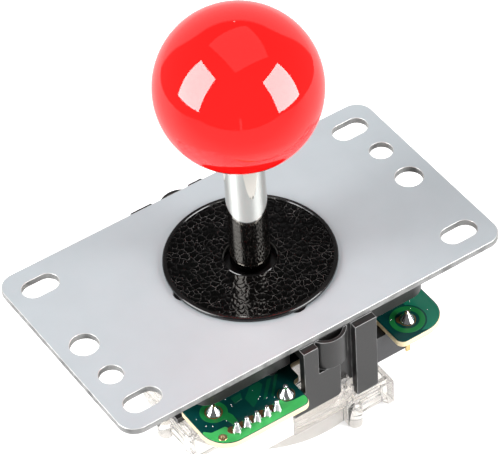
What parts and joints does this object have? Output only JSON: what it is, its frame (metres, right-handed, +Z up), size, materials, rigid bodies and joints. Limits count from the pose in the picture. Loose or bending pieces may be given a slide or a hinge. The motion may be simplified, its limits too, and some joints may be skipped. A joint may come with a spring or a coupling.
{
  "type": "arcade joystick lever",
  "caption": "Ball-top arcade joystick lever with a sprung tilting shaft, lever microswitches on a board, a clear restrictor gate and a slotted steel mounting plate.",
  "frame": {"origin": "centre of the four mounting slots, on the mounting plate's top face", "axes": "+Z up along the shaft at rest, +X along the plate's long side, -Y towards the side with the five-pin header"},
  "size_m": [0.095, 0.0644, 0.0975],
  "materials": {
    "plate_steel": "satin zinc plate, faintly blue",
    "screw_black": "black oxide",
    "housing_black": "fine spark-eroded moulding texture",
    "washer_black": "leather grain with a polished rim",
    "pivot_black": "greased black nylon",
    "spring_steel": "bright drawn wire and strip",
    "board_green": "green solder mask over copper tracks",
    "solder": "bright solder with flux at its foot",
    "header_white": "natural nylon",
    "pin_tin": "tinned",
    "terminal_brass": "plain stamped brass",
    "gate_clear": "clear polycarbonate",
    "shaft_chrome": "polished",
    "ball_red": "polished solid-colour plastic",
    "actuator_black": "smooth acetal",
    "switch_black": "moulded phenolic",
    "plunger_plastic": "smooth red acetal"
  },
  "bodies": {
    "base": {"mounting_plate": "plate_steel", "plate_screws": "screw_black", "main_housing": "housing_black", "dust_washer": "washer_black", "spring_seat": "pivot_black", "return_spring": "spring_steel", "circuit_board": "board_green", "switch_solder": "solder", "header_solder": "solder", "connector_header": "header_white", "header_pins": "pin_tin", "board_anchor": "pin_tin", "switch_terminals": "terminal_brass", "restrictor_gate": "gate_clear", "gate_insert": "gate_clear", "switch_case_front": "switch_black", "switch_case_right": "switch_black", "switch_case_back": "switch_black", "switch_case_left": "switch_black"},
    "pivot_liner": {"pivot_liner": "pivot_black"},
    "pivot_ball": {"pivot_ball": "pivot_black"},
    "lever": {"lever_shaft": "shaft_chrome", "ball_top": "ball_red", "ball_insert": "terminal_brass", "actuator": "actuator_black", "retaining_ring": "spring_steel"},
    "switch_lever_front": {"switch_lever_front": "spring_steel"},
    "switch_plunger_front": {"switch_plunger_front": "plunger_plastic"},
    "switch_lever_right": {"switch_lever_right": "spring_steel"},
    "switch_plunger_right": {"switch_plunger_right": "plunger_plastic"},
    "switch_lever_back": {"switch_lever_back": "spring_steel"},
    "switch_plunger_back": {"switch_plunger_back": "plunger_plastic"},
    "switch_lever_left": {"switch_lever_left": "spring_steel"},
    "switch_plunger_left": {"switch_plunger_left": "plunger_plastic"}
  },
  "joints": [
    {"name": "lever_tilt_x", "type": "hinge", "parent": "base", "child": "pivot_liner", "pos_m": [0, 0, -0.0054], "axis": [1, 0, 0], "range_deg": [-7, 7], "stiffness_Nm_per_rad": 0.8, "deforming": ["return_spring"]},
    {"name": "lever_tilt_y", "type": "hinge", "parent": "pivot_liner", "child": "pivot_ball", "pos_m": [0, 0, -0.0054], "axis": [0, 1, 0], "range_deg": [-7, 7], "stiffness_Nm_per_rad": 0.8},
    {"name": "lever_spin", "type": "hinge", "parent": "pivot_ball", "child": "lever", "pos_m": [0, 0, -0.0054], "axis": [0, 0, 1], "continuous": true},
    {"name": "switch_front_swing", "type": "hinge", "parent": "base", "child": "switch_lever_front", "pos_m": [0.0215, -0.01375, -0.0166], "axis": [0, 0, 1], "range_deg": [-3.7, 3.7]},
    {"name": "switch_front_push", "type": "slide", "parent": "base", "child": "switch_plunger_front", "axis": [0, 1, 0], "range_m": [-0.00087, 0.00087]},
    {"name": "switch_right_swing", "type": "hinge", "parent": "base", "child": "switch_lever_right", "pos_m": [0.01375, 0.0215, -0.0166], "axis": [0, 0, 1], "range_deg": [-3.7, 3.7]},
    {"name": "switch_right_push", "type": "slide", "parent": "base", "child": "switch_plunger_right", "axis": [1, 0, 0], "range_m": [-0.00087, 0.00087]},
    {"name": "switch_back_swing", "type": "hinge", "parent": "base", "child": "switch_lever_back", "pos_m": [-0.0215, 0.01375, -0.0166], "axis": [0, 0, 1], "range_deg": [-3.7, 3.7]},
    {"name": "switch_back_push", "type": "slide", "parent": "base", "child": "switch_plunger_back", "axis": [0, 1, 0], "range_m": [-0.00087, 0.00087]},
    {"name": "switch_left_swing", "type": "hinge", "parent": "base", "child": "switch_lever_left", "pos_m": [-0.01375, -0.0215, -0.0166], "axis": [0, 0, 1], "range_deg": [-3.7, 3.7]},
    {"name": "switch_left_push", "type": "slide", "parent": "base", "child": "switch_plunger_left", "axis": [1, 0, 0], "range_m": [-0.00087, 0.00087]}
  ],
  "couplings": [
    {"joint": "switch_front_swing", "follows": "lever_tilt_x", "ratio": -0.52093},
    {"joint": "switch_front_push", "follows": "lever_tilt_x", "m_per_rad": 0.0070326},
    {"joint": "switch_right_swing", "follows": "lever_tilt_y", "ratio": -0.52093},
    {"joint": "switch_right_push", "follows": "lever_tilt_y", "m_per_rad": -0.0070326},
    {"joint": "switch_back_swing", "follows": "lever_tilt_x", "ratio": 0.52093},
    {"joint": "switch_back_push", "follows": "lever_tilt_x", "m_per_rad": 0.0070326},
    {"joint": "switch_left_swing", "follows": "lever_tilt_y", "ratio": 0.52093},
    {"joint": "switch_left_push", "follows": "lever_tilt_y", "m_per_rad": -0.0070326}
  ]
}
